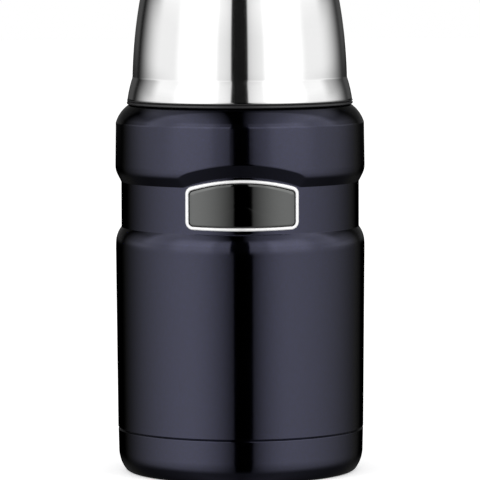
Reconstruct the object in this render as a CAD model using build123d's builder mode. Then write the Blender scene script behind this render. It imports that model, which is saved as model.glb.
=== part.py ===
from build123d import *
import math
import os

# Insulated food jar, millimetres, +Z up.
# The origin is the centre of the foot ring, on the surface that the jar stands on.
# The nameplate faces -Y, and every turned piece shares the Z axis.

# --- Body: driving dimensions ---
sheet = 0.5  # steel sheet of the shell, the vessel and the lid
bore_radius = 42.4  # inside of the food vessel
vacuum_gap = 6.6  # between the vessel and the recessed band of the shell
band_step = 2.45  # how far the bulge stands out from the band
barrel_step = 2.4  # how far the barrel stands out from the band
barrel_taper = 0.6  # the barrel is this much narrower at the seam
cup_step = 0.1  # the base cup is this much smaller than the barrel at the seam
cup_draft = 0.2  # and narrows by this much towards its corner
cup_corner_radius = 14.4  # wide curve from the wall down towards the foot
foot_edge_radius = 3.0
foot_edge_turn = 55.0  # degrees that the small curve turns from the foot
seam_height = 18.4
seam_land = 1.0  # upright edge of the barrel above the seam
barrel_height = 77.7
barrel_round_radius = 8.3
band_height = 19.3
bulge_slope = 27.0  # degrees from the axis, just above the band
bulge_round_radius = 10.7
bulge_height = 17.6
bulge_draft = 0.25  # the bulge leans in by this much at its top
shoulder_height = 7.3
shoulder_step = 0.7  # the shoulder ends this far inside the lid's rim
shoulder_crown = 0.65  # how far the shoulder bows out from its chord
neck_height = 16.0
neck_corner_radius = 1.0

# --- Base and vacuum space: driving dimensions ---
lap_length = 6.0  # the cup's spigot inside the barrel
seam_chamfer = 0.35
foot_ring_width = 3.0
foot_slope_run = 4.0
floor_height = 4.0  # underside of the recessed floor
dimple_radius = 9.0
dimple_rise = 1.6
dimple_slope_run = 2.0
evacuation_hole_radius = 0.8
seal_bead_radius = 3.0
seal_bead_height = 1.2
cover_radius = 14.0
cover_thickness = 0.4
getter_offset = 22.0
getter_radius = 4.5
getter_height = 2.2
clip_width = 6.0
clip_thickness = 0.4
clip_foot_length = 4.0
bottom_gap = 9.5  # free height between the cup's floor and the vessel
vessel_corner_radius = 10.0
bottom_weld_height = 14.0  # the vessel's weld above its underside
foil_thickness = 0.15
wall_foil_margin = 4.0
bottom_foil_margin = 4.0

# --- Mouth and threads: driving dimensions ---
mouth_step = 1.5  # the mouth is this much narrower than the vessel
mouth_slope_height = 5.0
mouth_slope_drop = 3.0  # from the shoulder's top down to the end of the slope
thread_starts = 4
thread_lead = 16.0
thread_sweep = 110.0  # degrees that one ridge runs round
outside_ridge_depth = 1.1  # ridges on the neck and the stopper
inside_ridge_depth = 1.0  # ridges in the lid and the mouth
ridge_root_width = 2.0
ridge_crest_width = 1.2
ridge_embed = 0.3  # how deep a ridge's root is sunk in its wall
neck_thread_rise = 5.0  # lower end of the neck's ridges above the shoulder
mouth_thread_rise = 5.5

# --- Clearances ---
wall_clearance = 0.1  # between pieces fixed to each other
thread_clearance = 0.3  # from a ridge's crest to the wall that it faces
seat_clearance = 0.3  # under the lid's rim and the stopper's gasket
foam_clearance = 0.3  # round each foam disc

# --- Arch and nameplate: driving dimensions ---
arch_radius = 68.5
arch_rise = 4.3  # the arch's apex above the band
arch_slope = 24.0  # degrees from the axis
arch_half_angle = 36.0
arch_sections = 9
badge_width = 46.6
badge_height = 21.1
badge_top_bow = 3.6  # how far the upper edge bows out, along the arch
badge_bottom_bow = 0.5
badge_corner_radius = 3.2
badge_border = 1.6
badge_lift = 2.6  # the plate's middle above the band's middle
tape_thickness = 0.2
plate_thickness = 0.7
frame_thickness = 1.2

# --- Stopper: driving dimensions ---
plug_depth = 24.0  # below the lip
plug_wall = 1.5
plug_floor = 2.0
plug_corner_radius = 4.0
gasket_thickness = 1.6
flange_thickness = 1.8
flange_clearance = 0.6  # inside the lid's ridges
cap_seat_step = 1.4  # the cap's edge stands in from the flange's edge
cap_skirt_height = 3.0
cap_skirt_slope = 3.2
cap_height = 14.5
cap_wall = 1.8
cap_edge_radius = 2.5
cap_dish_radius = 24.0
cap_dish_depth = 0.6
cap_flutes = 24
cap_flute_radius = 3.6
cap_flute_depth = 0.8

# --- Lid: driving dimensions ---
liner_wall = 1.1
rim_height = 1.75
rim_step = 2.4  # the rim ring stands out from the lid's waist
rim_chamfer = 0.4
steel_step = 0.3  # the steel stands in from the rim ring
steel_land = 0.6  # upright edge of the steel
flare_height = 9.4
flare_crown = 0.2
crown_height = 33.05
crown_draw = 3.35
crown_bow = 0.65
crown_corner_radius = 7.2
top_recess_radius = 27.0
top_recess_depth = 0.8
top_recess_slope = 1.6
liner_gap = 1.9  # insulating gap beside the bowl
throat_clearance = 0.6  # round the stopper's flange
throat_height = 1.0  # above the stopper's flange
liner_step_height = 1.5  # from the threaded bore to the throat
liner_step_radius = 1.0
liner_corner_radius = 6.0
lid_foam_thickness = 4.5
lid_foam_margin = 2.0

# --- Radii that follow, from the vessel outwards ---
band_radius = bore_radius + sheet + vacuum_gap + sheet
bulge_radius = band_radius + band_step
barrel_radius = band_radius + barrel_step
seam_radius = barrel_radius - barrel_taper
cup_radius = seam_radius - cup_step
lap_radius = seam_radius - sheet - wall_clearance
foot_turn = math.radians(foot_edge_turn)
foot_outside = (
    cup_radius
    - cup_draft
    - cup_corner_radius * (1 - math.sin(foot_turn))
    - foot_edge_radius * math.sin(foot_turn)
)
foot_inside = foot_outside - foot_ring_width
mouth_radius = bore_radius - mouth_step
neck_radius = mouth_radius + sheet + wall_clearance + sheet
liner_bore_radius = neck_radius + outside_ridge_depth + thread_clearance
waist_radius = liner_bore_radius + liner_wall + wall_clearance + sheet
rim_radius = waist_radius + rim_step
steel_radius = rim_radius - steel_step
shoulder_radius = rim_radius - shoulder_step
crown_radius = waist_radius - crown_draw
bowl_top_radius = crown_radius - sheet - liner_gap - liner_wall
plug_radius = mouth_radius - thread_clearance - outside_ridge_depth
plug_bore_radius = plug_radius - plug_wall
flange_radius = liner_bore_radius - inside_ridge_depth - flange_clearance
throat_radius = flange_radius + throat_clearance
cap_radius = flange_radius - cap_seat_step
grip_radius = cap_radius - cap_skirt_slope

# --- Heights that follow, from the foot upwards ---
floor_top = floor_height + sheet
vessel_underside = floor_top + bottom_gap
weld_height = vessel_underside + bottom_weld_height
barrel_top = seam_height + seam_land + barrel_height
barrel_round_angle = math.degrees(math.acos(1 - barrel_step / barrel_round_radius))
band_bottom = barrel_top + barrel_round_radius * math.sin(math.radians(barrel_round_angle))
band_top = band_bottom + band_height
slope_run = band_step - bulge_round_radius * (1 - math.cos(math.radians(bulge_slope)))
slope_top = band_top + slope_run / math.tan(math.radians(bulge_slope))
bulge_bottom = slope_top + bulge_round_radius * math.sin(math.radians(bulge_slope))
bulge_top = bulge_bottom + bulge_height
shoulder_top = bulge_top + shoulder_height
mouth_slope_top = shoulder_top - mouth_slope_drop
bore_top = mouth_slope_top - mouth_slope_height
lip_height = shoulder_top + neck_height
plug_bottom = lip_height - plug_depth
gasket_bottom = lip_height + seat_clearance
flange_bottom = gasket_bottom + gasket_thickness
flange_top = flange_bottom + flange_thickness
cap_top = flange_top + cap_height
rim_bottom = shoulder_top + seat_clearance
rim_top = rim_bottom + rim_height
waist_height = rim_top + flare_height
ridge_rise = thread_lead * thread_sweep / 360
liner_step_bottom = shoulder_top + neck_thread_rise + ridge_rise + ridge_root_width / 2 + seat_clearance
badge_middle = (band_bottom + band_top) / 2 + badge_lift
thread_pitch = thread_lead / thread_starts


# --- Shapes that several pieces share ---
def thread_ridges(wall_radius, depth, start_height):
    """Right-hand helical ridges on a wall. A negative depth points them at the axis."""
    embed = math.copysign(ridge_embed, depth)
    with BuildPart() as ridge:
        with BuildLine() as path:
            Helix(thread_lead, ridge_rise, wall_radius, center=(0, 0, start_height))
        start = Plane(origin=path.line @ 0, x_dir=(1, 0, 0), z_dir=path.line % 0)
        with BuildSketch(start):
            Polygon(
                (-embed, -ridge_root_width / 2),
                (depth, -ridge_crest_width / 2),
                (depth, ridge_crest_width / 2),
                (-embed, ridge_root_width / 2),
                align=None,
            )
        sweep(path=path.line, is_frenet=True)
    with BuildPart() as ridges:
        with PolarLocations(0, thread_starts):
            add(ridge.part)
    return ridges.part


def body_outline():
    """Outside of the barrel, band, bulge, shoulder and neck, from the seam upwards."""
    land = Line((seam_radius, seam_height), (seam_radius, seam_height + seam_land))
    barrel = Line(land @ 1, (barrel_radius, barrel_top))
    barrel_round = JernArc(barrel @ 1, (0, 1), barrel_round_radius, barrel_round_angle)
    band = Line(barrel_round @ 1, (band_radius, band_top))
    slope = Line(band @ 1, (band_radius + slope_run, slope_top))
    bulge_round = JernArc(slope @ 1, slope % 1, bulge_round_radius, bulge_slope)
    bulge = Line(bulge_round @ 1, (bulge_radius - bulge_draft, bulge_top))
    shoulder = SagittaArc(bulge @ 1, (shoulder_radius, shoulder_top), -shoulder_crown)
    shelf = Line(shoulder @ 1, (neck_radius + neck_corner_radius, shoulder_top))
    corner = JernArc(shelf @ 1, (-1, 0), neck_corner_radius, -90)
    Line(corner @ 1, (neck_radius, lip_height - sheet))


def arch_cutter(inset):
    """The recess over the nameplate. An inset sinks its surface into the body."""
    grade = math.tan(math.radians(arch_slope))
    face_radius = band_radius - inset / math.cos(math.radians(arch_slope))
    inner = band_radius - band_step
    outer = bulge_radius + band_step
    arch_centre = band_top + arch_rise - arch_radius
    low = (band_bottom + band_top) / 2
    with BuildPart() as cutter:
        for step in range(arch_sections):
            angle = math.radians(arch_half_angle * (2 * step / (arch_sections - 1) - 1))
            across = band_radius * math.sin(angle)
            crease = arch_centre + math.sqrt(arch_radius**2 - across**2)
            outwards = (math.sin(angle), -math.cos(angle), 0)
            with BuildSketch(Plane((0, 0, 0), x_dir=outwards, z_dir=(outwards[1], -outwards[0], 0))):
                Polygon(
                    (inner, low),
                    (inner, crease + (inner - face_radius) / grade),
                    (outer, crease + (outer - face_radius) / grade),
                    (outer, low),
                    align=None,
                )
        loft()
        with BuildSketch():
            Circle(band_radius - inset)
        extrude(amount=bulge_top, mode=Mode.SUBTRACT)
    return cutter.part


def badge_outline(inset):
    """Upright ends, an upper edge that follows the arch and a lower edge that bows a little."""
    half_width = badge_width / 2 - inset
    half_height = badge_height / 2 - inset
    upper = half_height - badge_top_bow
    lower = badge_bottom_bow - half_height
    with BuildSketch(Plane((0, 0, badge_middle), x_dir=(1, 0, 0), z_dir=(0, -1, 0))) as outline:
        with BuildLine():
            top = ThreePointArc((half_width, upper), (0, half_height), (-half_width, upper))
            left = Line(top @ 1, (-half_width, lower))
            bottom = ThreePointArc(left @ 1, (0, -half_height), (half_width, lower))
            Line(bottom @ 1, top @ 0)
        make_face()
        fillet(outline.vertices(), badge_corner_radius - inset)
    return outline.sketch


def curved_plate(outline, inner_radius, thickness):
    """A plate of the given outline, bent round the band."""
    with BuildPart() as plate:
        extrude(outline, amount=bulge_radius)
        with BuildSketch():
            Circle(inner_radius + thickness)
            Circle(inner_radius, mode=Mode.SUBTRACT)
        extrude(amount=bulge_top, mode=Mode.INTERSECT)
    return plate.part


# --- Jar ---
# Outer shell: drawn steel barrel with the thread rolled in its neck and the arch pressed in its front.
with BuildPart() as arch_wall:
    with BuildSketch(Plane.XZ):
        with BuildLine():
            body_outline()
            Polyline((neck_radius, lip_height - sheet), (0, lip_height - sheet), (0, seam_height))
            Line((0, seam_height), (seam_radius, seam_height))
        make_face()
    revolve(axis=Axis.Z)
    add(arch_cutter(sheet), mode=Mode.INTERSECT)
    add(arch_cutter(0), mode=Mode.SUBTRACT)

with BuildPart() as outer_shell:
    with BuildSketch(Plane.XZ):
        with BuildLine():
            body_outline()
            offset(amount=sheet, side=Side.LEFT)
        make_face()
    revolve(axis=Axis.Z)
    add(arch_cutter(0), mode=Mode.SUBTRACT)
    add(arch_wall.part)
    seam_edge = outer_shell.edges().filter_by(GeomType.CIRCLE).group_by(Axis.Z)[0].sort_by(SortBy.RADIUS)[-1]
    chamfer(seam_edge, seam_chamfer)
    add(thread_ridges(neck_radius, outside_ridge_depth, shoulder_top + neck_thread_rise))

# Base cup: drawn steel, its spigot lapped inside the barrel and welded at the seam.
with BuildPart() as base_cup:
    with BuildSketch(Plane.XZ):
        with BuildLine():
            dimple = Line((0, floor_height + dimple_rise), (dimple_radius, floor_height + dimple_rise))
            dimple_side = Line(dimple @ 1, (dimple_radius + dimple_slope_run, floor_height))
            floor = Line(dimple_side @ 1, (foot_inside - foot_slope_run, floor_height))
            foot_slope = Line(floor @ 1, (foot_inside, 0))
            foot = Line(foot_slope @ 1, (foot_outside, 0))
            foot_edge = JernArc(foot @ 1, (1, 0), foot_edge_radius, foot_edge_turn)
            corner = JernArc(foot_edge @ 1, foot_edge % 1, cup_corner_radius, 90 - foot_edge_turn)
            wall = Line(corner @ 1, (cup_radius, seam_height - seam_chamfer))
            edge = Line(wall @ 1, (cup_radius - seam_chamfer, seam_height))
            shoulder = Line(edge @ 1, (lap_radius, seam_height))
            Line(shoulder @ 1, (lap_radius, seam_height + lap_length))
            offset(amount=sheet, side=Side.LEFT)
        make_face()
    revolve(axis=Axis.Z)
    with BuildSketch():
        Circle(evacuation_hole_radius)
    extrude(amount=seam_height, mode=Mode.SUBTRACT)

# Evacuation seal: solder that fills the hole in the dimple and beads under it.
with BuildPart() as evacuation_seal:
    dimple_underside = floor_height + dimple_rise
    with BuildSketch(Plane.XZ):
        with BuildLine():
            bead = ThreePointArc(
                (0, dimple_underside - seal_bead_height),
                (seal_bead_radius * 0.75, dimple_underside - seal_bead_height * 0.6),
                (seal_bead_radius, dimple_underside),
            )
            Polyline(
                bead @ 1,
                (evacuation_hole_radius, dimple_underside),
                (evacuation_hole_radius, dimple_underside + sheet),
                (0, dimple_underside + sheet),
                bead @ 0,
            )
        make_face()
    revolve(axis=Axis.Z)

# Seal cover: thin steel disc stuck over the dimple.
with BuildPart() as seal_cover:
    with BuildSketch(Plane.XY.offset(floor_height)):
        Circle(cover_radius)
    extrude(amount=-cover_thickness)

# Food vessel: steel wall that narrows to the mouth and rolls out over the neck's edge.
with BuildPart() as inner_vessel:
    with BuildSketch(Plane.XZ):
        with BuildLine():
            bore = Line((bore_radius, weld_height), (bore_radius, bore_top))
            mouth_slope = Line(bore @ 1, (mouth_radius, mouth_slope_top))
            mouth = Line(mouth_slope @ 1, (mouth_radius, lip_height - sheet - wall_clearance))
            lip = JernArc(mouth @ 1, (0, 1), sheet + wall_clearance, -90)
            Line(lip @ 1, (neck_radius, lip_height))
            offset(amount=sheet, side=Side.RIGHT)
        make_face()
    revolve(axis=Axis.Z)
    add(thread_ridges(mouth_radius, -inside_ridge_depth, shoulder_top + mouth_thread_rise))

# Vessel bottom: dished steel, butt-welded to the vessel's wall.
with BuildPart() as inner_bottom:
    with BuildSketch(Plane.XZ):
        with BuildLine():
            dish_height = vessel_underside + sheet
            dish = Line((0, dish_height), (bore_radius - vessel_corner_radius, dish_height))
            dish_corner = JernArc(dish @ 1, (1, 0), vessel_corner_radius, 90)
            Line(dish_corner @ 1, (bore_radius, weld_height))
            offset(amount=sheet, side=Side.RIGHT)
        make_face()
    revolve(axis=Axis.Z)

# Radiation foil: a wrap round the vessel's wall and a disc under its bottom.
with BuildPart() as wall_foil:
    with BuildSketch(Plane.XY.offset(weld_height + wall_foil_margin)):
        Circle(bore_radius + sheet + wall_clearance + foil_thickness)
        Circle(bore_radius + sheet + wall_clearance, mode=Mode.SUBTRACT)
    extrude(amount=bore_top - weld_height - 2 * wall_foil_margin)

with BuildPart() as bottom_foil:
    with BuildSketch(Plane.XY.offset(vessel_underside)):
        Circle(bore_radius - vessel_corner_radius - bottom_foil_margin)
    extrude(amount=-foil_thickness)

# Getter: a pellet on the cup's floor, under a spring strip welded down at both feet.
with BuildPart() as getter_pellet:
    with BuildSketch(Plane.XY.offset(floor_top)):
        with Locations((getter_offset, 0)):
            Circle(getter_radius)
    extrude(amount=getter_height)

with BuildPart() as getter_clip:
    clip_leg = getter_radius + wall_clearance
    with BuildSketch(Plane.XZ.offset(-clip_width / 2)):
        with BuildLine():
            Polyline(
                (getter_offset - clip_leg - clip_foot_length, floor_top),
                (getter_offset - clip_leg, floor_top),
                (getter_offset - clip_leg, floor_top + getter_height),
                (getter_offset + clip_leg, floor_top + getter_height),
                (getter_offset + clip_leg, floor_top),
                (getter_offset + clip_leg + clip_foot_length, floor_top),
            )
            offset(amount=clip_thickness, side=Side.LEFT)
        make_face()
    extrude(amount=clip_width)

# Nameplate: a bare plate in a polished frame, both on one tape, in the band under the arch.
with BuildPart() as badge_adhesive:
    add(curved_plate(badge_outline(badge_border / 2), band_radius, tape_thickness))

with BuildPart() as badge_plate:
    plate_inset = badge_border + wall_clearance
    add(curved_plate(badge_outline(plate_inset), band_radius + tape_thickness, plate_thickness))

with BuildPart() as badge_frame:
    add(curved_plate(badge_outline(0), band_radius + tape_thickness, frame_thickness))
    extrude(badge_outline(badge_border), amount=bulge_radius, mode=Mode.SUBTRACT)

# --- Stopper ---
# Plug: moulded cup with the flange and the outside thread.
with BuildPart() as stopper_plug:
    with BuildSketch(Plane.XZ):
        with BuildLine():
            FilletPolyline(
                (0, plug_bottom),
                (plug_radius, plug_bottom),
                (plug_radius, flange_bottom),
                radius=plug_corner_radius,
            )
            Polyline(
                (plug_radius, flange_bottom),
                (flange_radius, flange_bottom),
                (flange_radius, flange_top),
                (plug_bore_radius, flange_top),
            )
            FilletPolyline(
                (plug_bore_radius, flange_top),
                (plug_bore_radius, plug_bottom + plug_floor),
                (0, plug_bottom + plug_floor),
                radius=plug_corner_radius - plug_wall,
            )
            Line((0, plug_bottom + plug_floor), (0, plug_bottom))
        make_face()
    revolve(axis=Axis.Z)
    plug_thread_start = shoulder_top + mouth_thread_rise - thread_pitch / 2
    add(thread_ridges(plug_radius, outside_ridge_depth, plug_thread_start))

# Gasket: silicone ring under the flange.
with BuildPart() as stopper_gasket:
    with BuildSketch(Plane.XY.offset(gasket_bottom)):
        Circle(flange_radius - wall_clearance)
        Circle(plug_radius, mode=Mode.SUBTRACT)
    extrude(amount=gasket_thickness)

# Cap: moulded grip, welded on the flange, fluted for the fingers and dished on top.
with BuildPart() as stopper_cap:
    skirt_top = flange_top + cap_skirt_height
    grip_bottom = skirt_top + cap_skirt_slope
    with BuildSketch(Plane.XZ):
        Polygon(
            (0, flange_top),
            (cap_radius, flange_top),
            (cap_radius, skirt_top),
            (grip_radius, grip_bottom),
            (grip_radius, cap_top),
            (0, cap_top),
            align=None,
        )
    revolve(axis=Axis.Z)
    fillet(stopper_cap.faces().sort_by(Axis.Z)[-1].edges(), cap_edge_radius)
    with BuildSketch(Plane.XZ):
        Polygon(
            (0, flange_top),
            (cap_radius - cap_wall, flange_top),
            (cap_radius - cap_wall, skirt_top - cap_wall / 2),
            (grip_radius - cap_wall, grip_bottom - cap_wall / 2),
            (grip_radius - cap_wall, cap_top - cap_wall - cap_dish_depth),
            (0, cap_top - cap_wall - cap_dish_depth),
            align=None,
        )
    revolve(axis=Axis.Z, mode=Mode.SUBTRACT)
    with BuildSketch(Plane.XY.offset(cap_top)):
        Circle(cap_dish_radius)
    extrude(amount=-cap_dish_depth, mode=Mode.SUBTRACT)
    with BuildSketch(Plane.XY.offset(grip_bottom)):
        with PolarLocations(grip_radius + cap_flute_radius - cap_flute_depth, cap_flutes):
            Circle(cap_flute_radius)
    extrude(amount=cap_height, mode=Mode.SUBTRACT)

# Stopper foam: insulation disc that fills the plug.
with BuildPart() as stopper_foam:
    foam_bottom = plug_bottom + plug_floor + foam_clearance
    with BuildSketch(Plane.XY.offset(foam_bottom)):
        Circle(plug_bore_radius - foam_clearance)
    extrude(amount=flange_top - foam_bottom)
    chamfer(stopper_foam.faces().sort_by(Axis.Z)[0].edges(), plug_corner_radius - plug_wall)

# --- Lid ---
# Lid shell: drawn steel bowl with a flared lower edge and a shallow round recess on top.
with BuildPart() as lid_shell:
    with BuildSketch(Plane.XZ):
        with BuildLine():
            steel_edge = Line((steel_radius, rim_top), (steel_radius, rim_top + steel_land))
            flare = SagittaArc(steel_edge @ 1, (waist_radius, waist_height), -flare_crown)
            crown = SagittaArc(flare @ 1, (crown_radius, waist_height + crown_height), -crown_bow)
            crown_tilt = (crown % 1).get_angle(Vector(-1, 0))
            crown_corner = JernArc(crown @ 1, crown % 1, crown_corner_radius, crown_tilt)
            lid_top = (crown_corner @ 1).Y
            top_ring = Line(crown_corner @ 1, (top_recess_radius + top_recess_slope, lid_top))
            recess_slope = Line(top_ring @ 1, (top_recess_radius, lid_top - top_recess_depth))
            Line(recess_slope @ 1, (0, lid_top - top_recess_depth))
            offset(amount=sheet, side=Side.LEFT)
        make_face()
    revolve(axis=Axis.Z)

# Lid liner: moulded inner bowl with the inside thread and the rim ring that carries the steel.
lid_foam_top = lid_top - top_recess_depth - sheet - foam_clearance
liner_top = lid_foam_top - lid_foam_thickness - foam_clearance
bowl_ceiling = liner_top - liner_wall
with BuildPart() as lid_liner:
    with BuildSketch(Plane.XZ):
        with BuildLine():
            FilletPolyline(
                (liner_bore_radius, rim_bottom),
                (liner_bore_radius, liner_step_bottom),
                (throat_radius, liner_step_bottom + liner_step_height),
                (throat_radius, flange_top + throat_height),
                (bowl_top_radius, bowl_ceiling),
                (0, bowl_ceiling),
                radius=(
                    liner_step_radius,
                    liner_step_radius + liner_wall,
                    liner_step_radius,
                    liner_corner_radius,
                ),
            )
            offset(amount=liner_wall, side=Side.RIGHT)
        make_face()
    revolve(axis=Axis.Z)
    with BuildSketch(Plane.XZ):
        Polygon(
            (liner_bore_radius + liner_wall / 2, rim_bottom),
            (rim_radius - rim_chamfer, rim_bottom),
            (rim_radius, rim_bottom + rim_chamfer),
            (rim_radius, rim_top - rim_chamfer),
            (rim_radius - rim_chamfer, rim_top),
            (liner_bore_radius + liner_wall / 2, rim_top),
            align=None,
        )
    revolve(axis=Axis.Z)
    liner_thread_start = shoulder_top + neck_thread_rise - thread_pitch / 2
    add(thread_ridges(liner_bore_radius, -inside_ridge_depth, liner_thread_start))

# Lid foam: insulation disc between the liner and the steel.
with BuildPart() as lid_foam:
    with BuildSketch(Plane.XY.offset(liner_top + foam_clearance)):
        Circle(bowl_top_radius - liner_corner_radius - lid_foam_margin)
    extrude(amount=lid_foam_thickness)

# --- Output: one STEP file for each piece ---
pieces = {
    "outer_shell": outer_shell,
    "base_cup": base_cup,
    "evacuation_seal": evacuation_seal,
    "seal_cover": seal_cover,
    "inner_vessel": inner_vessel,
    "inner_bottom": inner_bottom,
    "wall_foil": wall_foil,
    "bottom_foil": bottom_foil,
    "getter_pellet": getter_pellet,
    "getter_clip": getter_clip,
    "badge_adhesive": badge_adhesive,
    "badge_plate": badge_plate,
    "badge_frame": badge_frame,
    "stopper_plug": stopper_plug,
    "stopper_gasket": stopper_gasket,
    "stopper_cap": stopper_cap,
    "stopper_foam": stopper_foam,
    "lid_shell": lid_shell,
    "lid_liner": lid_liner,
    "lid_foam": lid_foam,
}
os.makedirs("parts", exist_ok=True)
for name, piece in pieces.items():
    piece.part.label = name
    export_step(piece.part, f"parts/{name}.step")
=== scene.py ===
import math

import bmesh
import bpy
import numpy as np
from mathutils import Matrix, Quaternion, Vector


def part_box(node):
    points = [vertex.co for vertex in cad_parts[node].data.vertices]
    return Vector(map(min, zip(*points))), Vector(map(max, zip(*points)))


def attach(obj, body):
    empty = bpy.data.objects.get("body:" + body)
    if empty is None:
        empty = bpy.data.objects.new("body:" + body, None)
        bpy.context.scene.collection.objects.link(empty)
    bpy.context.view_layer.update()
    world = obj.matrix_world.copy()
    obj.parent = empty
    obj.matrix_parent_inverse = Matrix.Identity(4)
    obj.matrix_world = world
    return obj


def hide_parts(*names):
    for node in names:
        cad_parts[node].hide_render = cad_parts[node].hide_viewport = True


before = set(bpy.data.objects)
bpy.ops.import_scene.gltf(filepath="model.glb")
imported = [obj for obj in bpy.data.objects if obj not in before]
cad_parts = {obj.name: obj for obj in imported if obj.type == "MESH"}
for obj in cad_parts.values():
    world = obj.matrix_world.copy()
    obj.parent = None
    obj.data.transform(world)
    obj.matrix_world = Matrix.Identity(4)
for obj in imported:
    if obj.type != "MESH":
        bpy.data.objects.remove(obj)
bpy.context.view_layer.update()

# ---------------------------------------------------------------------------
# Outer shell
# Drawn steel barrel with a recessed band, a bulge and a shoulder, the lid's
# thread rolled in its neck and an arch pressed in over the nameplate. It is
# enamelled under a clear coat, and its lower edge is welded to the base cup.
# ---------------------------------------------------------------------------
MM = 0.001
SHEET = 0.5
shell_low, shell_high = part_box("outer_shell")
SEAM_Z = shell_low[2] / MM
NECK_TOP_Z = shell_high[2] / MM
BULGE_R = shell_high[0] / MM
BAND_STEP = 2.45
BARREL_STEP = 2.4
SEAM_STEP = 0.6
BAND_R = BULGE_R - BAND_STEP
BARREL_R = BAND_R + BARREL_STEP
SEAM_R = BARREL_R - SEAM_STEP
SEAM_LAND = 1.0
SEAM_CHAMFER = 0.5
BARREL_HEIGHT = 77.7
BARREL_TOP_Z = SEAM_Z + SEAM_LAND + BARREL_HEIGHT
BARREL_ROUND_R = 9.0
BARREL_EASE = 2.8
EASE_ANGLE = math.radians(3)
BARREL_ROUND_ANGLE = math.acos(1 - (BARREL_R - BAND_R) / BARREL_ROUND_R)
BAND_HEIGHT = 19.0
BAND_LOW_Z = BARREL_TOP_Z + BARREL_ROUND_R * math.sin(BARREL_ROUND_ANGLE)
BAND_TOP_Z = BAND_LOW_Z + BAND_HEIGHT
BULGE_SLOPE = math.radians(27)
BULGE_ROUND_R = 8.5
BULGE_SLOPE_RUN = BULGE_R - BAND_R - BULGE_ROUND_R * (1 - math.cos(BULGE_SLOPE))
BULGE_LOW_Z = BAND_TOP_Z + BULGE_SLOPE_RUN / math.tan(BULGE_SLOPE) + BULGE_ROUND_R * math.sin(BULGE_SLOPE)
BULGE_HEIGHT = 18.1
BULGE_TOP_Z = BULGE_LOW_Z + BULGE_HEIGHT
BULGE_DRAFT = 0.25
BULGE_TOP_ROUND_R = 2.0
NECK_HEIGHT = 15.5
SHOULDER_TOP_Z = NECK_TOP_Z - NECK_HEIGHT
SHOULDER_CROWN = 0.75
SHOULDER_R = 46.8
NECK_R = 42.0
ARCH_R = 68.5
ARCH_RISE = 4.3
ARCH_GRADE = math.tan(math.radians(24))
ARCH_SOFTNESS = 0.3
CREASE_SOFTNESS = 0.05
THREAD_STARTS = 4
THREAD_LEAD = 16.0
THREAD_SWEEP = math.radians(110)
RIDGE_ROOT = 1.0
RIDGE_CREST = 0.5
RIDGE_TAPER = math.radians(8)
NECK_THREAD_Z = SHOULDER_TOP_Z + 5.0
NECK_RIDGE = 1.1
NAVY = (0.0290, 0.0295, 0.0490, 1)
FLAKE_BLUE = (0.037, 0.039, 0.082, 1)
EDGE_SHEEN = (0.3, 0.3, 0.3, 1)


def arc(centre, radius, start, end, steps):
    """Points of an arc in a turned section. 0 degrees points outwards, 90 up."""
    angles = np.radians(np.linspace(start, end, steps + 1))
    return [(centre[0] + radius * math.cos(a), centre[1] + radius * math.sin(a)) for a in angles]


def bowed(start, end, sagitta, steps):
    """Points of a shallow curve from start to end, standing out to the right by the sagitta."""
    (r0, z0), (r1, z1) = start, end
    length = math.hypot(r1 - r0, z1 - z0)
    out = ((z1 - z0) / length, (r0 - r1) / length)
    points = []
    for t in np.linspace(0, 1, steps + 1):
        lift = sagitta * 4 * t * (1 - t)
        points.append((r0 + (r1 - r0) * t + out[0] * lift, z0 + (z1 - z0) * t + out[1] * lift))
    return points


def rounded(corners, closed=False, steps=6):
    """A section whose (r, z, radius) corners are arcs between two holding rows."""
    count = len(corners)
    points = []
    for k, corner in enumerate(corners):
        here = np.array(corner[:2], float)
        if len(corner) < 3 or (not closed and k in (0, count - 1)):
            points.append(here)
            continue
        back = np.array(corners[k - 1][:2], float) - here
        ahead = np.array(corners[(k + 1) % count][:2], float) - here
        back_length, ahead_length = np.linalg.norm(back), np.linalg.norm(ahead)
        back, ahead = back / back_length, ahead / ahead_length
        half = math.acos(np.clip(back @ ahead, -1, 1)) / 2
        reach = min(corner[2] / math.tan(half), 0.45 * back_length, 0.45 * ahead_length)
        middle = here + (back + ahead) / np.linalg.norm(back + ahead) * reach / math.cos(half)
        first, last = here + back * reach, here + ahead * reach
        hold = 0.1 * reach + 0.02
        points.append(first + back * min(hold, 0.05 * back_length))
        for t in np.linspace(0, 1, steps + 1):
            spoke = (first - middle) * (1 - t) + (last - middle) * t
            points.append(middle + spoke / np.linalg.norm(spoke) * reach * math.tan(half))
        points.append(last + ahead * min(hold, 0.05 * ahead_length))
    return [tuple(p) for p in points]


def divided(points, spacing):
    """The same section with rows no further apart than the spacing at their height."""
    result = [points[0]]
    for (r0, z0), (r1, z1) in zip(points, points[1:]):
        longest = spacing((z0 + z1) / 2)
        parts = math.ceil(math.hypot(r1 - r0, z1 - z0) / longest)
        for k in range(1, parts + 1):
            result.append((r0 + (r1 - r0) * k / parts, z0 + (z1 - z0) * k / parts))
    return result


def sheet_section(path, thickness):
    """A closed section of sheet metal with eased edges. The path is its right-hand face."""
    steps = np.diff(np.array(path), axis=0)
    steps = steps / np.maximum(np.linalg.norm(steps, axis=1)[:, None], 1e-9)
    normals = np.stack([-steps[:, 1], steps[:, 0]], axis=1)
    normals = np.vstack([normals[:1], (normals[:-1] + normals[1:]) / 2, normals[-1:]])
    size = np.maximum(np.sum(normals**2, axis=1)[:, None], 0.3)
    far = [tuple(p) for p in np.array(path) + normals / size * thickness]
    ease = 0.3 * abs(thickness)
    right = [(*path[0], ease), *path[1:-1], (*path[-1], ease)]
    left = [(*far[-1], ease), *far[-2:0:-1], (*far[0], ease)]
    return rounded(right + left, closed=True, steps=3)


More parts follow.
